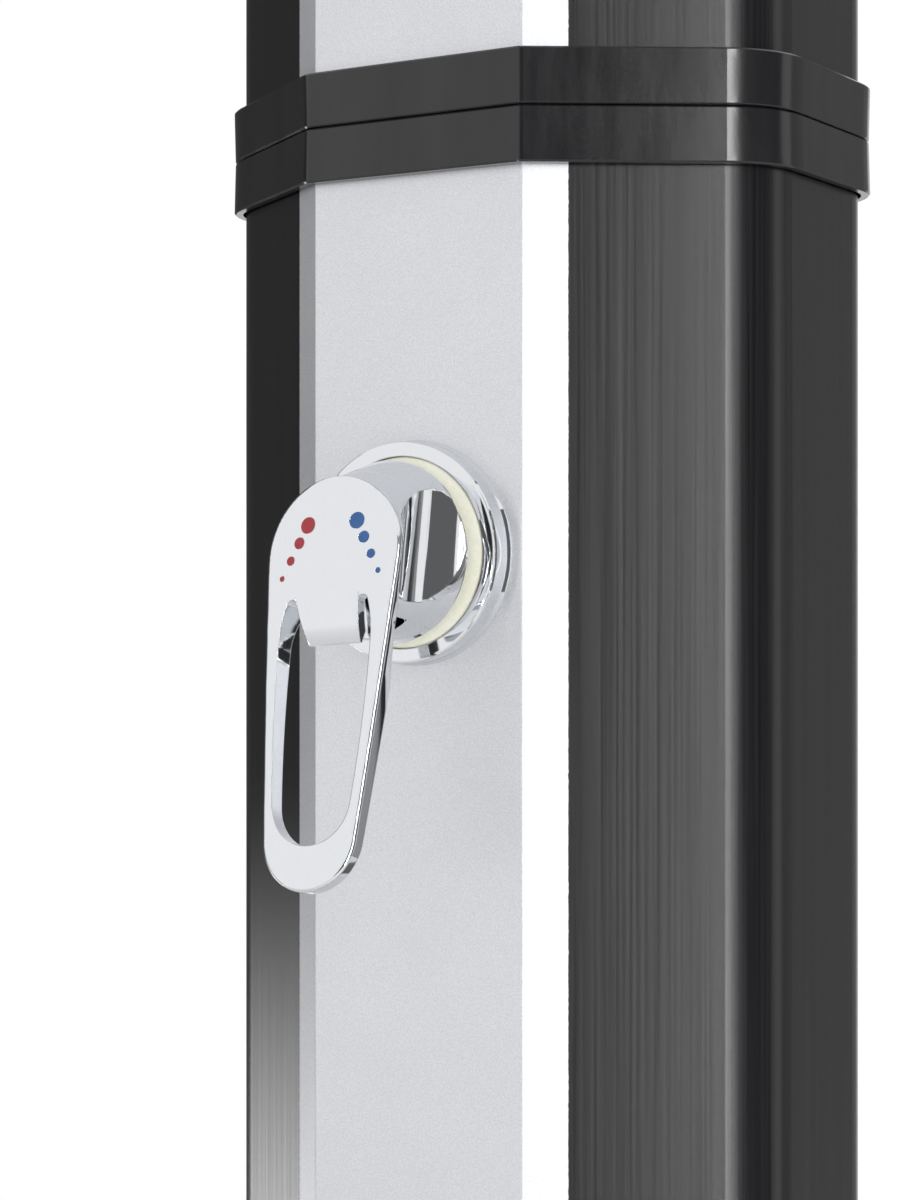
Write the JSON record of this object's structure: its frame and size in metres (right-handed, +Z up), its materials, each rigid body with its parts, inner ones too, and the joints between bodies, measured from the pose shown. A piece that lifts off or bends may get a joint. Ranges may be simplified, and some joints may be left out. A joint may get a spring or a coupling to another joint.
{
  "type": "outdoor solar shower post",
  "caption": "Free-standing solar shower column in two screwed tanks, with a concealed single-lever mixer, foot plate, bent arm and swivelling round head.",
  "frame": {"origin": "on the ground under the middle of the column's cross-section", "axes": "+Z up the column; the flat silver front and the lever face -Y; +X to the right seen from the front"},
  "size_m": [0.24, 0.3274, 2.1483],
  "materials": {
    "tank_pvc": "dark grey PVC with a silver lacquered front",
    "cap_plastic": "satin charcoal",
    "black_plastic": "fine grained black",
    "white_plastic": "moulded white",
    "ivory_plastic": "ivory, semi-gloss",
    "face_plastic": "silver grey",
    "nozzle_rubber": "soft grey silicone",
    "black_rubber": "matt",
    "ceramic": "lapped alumina ceramic",
    "chrome": "bright plated",
    "stainless": "plain stainless",
    "raw_brass": "machined, unplated",
    "red_enamel": "inlay",
    "blue_enamel": "inlay"
  },
  "bodies": {
    "post": {"base_foot": "black_plastic", "foot_screws": "stainless", "lower_tank_bottom_cap": "cap_plastic", "lower_tank": "tank_pvc", "lower_tank_top_cap": "cap_plastic", "upper_tank_bottom_cap": "cap_plastic", "upper_tank": "tank_pvc", "upper_tank_top_cap": "cap_plastic", "coupling_nipple": "black_plastic", "coupling_gaskets": "black_rubber", "riser_coupler": "white_plastic", "riser_orings": "black_rubber", "lower_riser_pipe": "white_plastic", "upper_riser_pipe": "white_plastic", "hot_pickup_pipe": "white_plastic", "cold_feed_pipe": "white_plastic", "mixer_body": "raw_brass", "mixer_gasket": "black_rubber", "mixer_washer": "stainless", "mixer_lock_nut": "raw_brass", "mixer_flange": "chrome", "cover_ring": "ivory_plastic", "cartridge_base": "white_plastic", "port_seals": "black_rubber", "cartridge_housing": "white_plastic", "fixed_ceramic_disc": "ceramic", "cartridge_nut": "raw_brass", "inlet_nipple": "raw_brass", "inlet_washer": "black_rubber", "inlet_lock_nut": "raw_brass", "inlet_tee": "white_plastic", "drain_plug": "black_plastic", "drain_seal": "black_rubber", "shower_arm": "chrome", "arm_rosette": "chrome", "arm_gasket": "black_rubber", "arm_lock_nut": "raw_brass", "outlet_elbow": "white_plastic", "arm_ball": "chrome"},
    "mixing_rotor": {"mixing_rotor": "white_plastic", "stem_pin": "stainless"},
    "lever": {"cartridge_stem": "raw_brass", "lever_handle": "chrome", "lever_screw": "stainless", "hot_marks": "red_enamel", "cold_marks": "blue_enamel"},
    "sliding_disc": {"sliding_ceramic_disc": "ceramic"},
    "swivel_seat": {"ball_seat": "white_plastic"},
    "shower_head": {"ball_nut": "chrome", "head_shell": "chrome", "face_plate": "face_plastic", "nozzle_mat": "nozzle_rubber"}
  },
  "joints": [
    {"name": "temperature_turn", "type": "hinge", "parent": "post", "child": "mixing_rotor", "pos_m": [0, -0.05531, 0.98285], "axis": [0, -1, 0], "range_deg": [-49.3, 40.7]},
    {"name": "flow_lift", "type": "hinge", "parent": "mixing_rotor", "child": "lever", "pos_m": [0, -0.05131, 0.98285], "axis": [-0.9972, 0, -0.075], "range_deg": [-9.5, 9.5]},
    {"name": "disc_shift", "type": "slide", "parent": "mixing_rotor", "child": "sliding_disc", "axis": [0.075, 0, -0.9972], "range_m": [-0.00125, 0.00125]},
    {"name": "head_swivel", "type": "hinge", "parent": "post", "child": "swivel_seat", "pos_m": [0, -0.15519, 2.033], "axis": [0, -0.6157, -0.788], "continuous": true},
    {"name": "head_tilt", "type": "hinge", "parent": "swivel_seat", "child": "shower_head", "pos_m": [0, -0.15519, 2.033], "axis": [1, 0, 0], "range_deg": [-18, 18]}
  ],
  "couplings": [
    {"joint": "disc_shift", "follows": "flow_lift", "m_per_rad": 0.007}
  ]
}
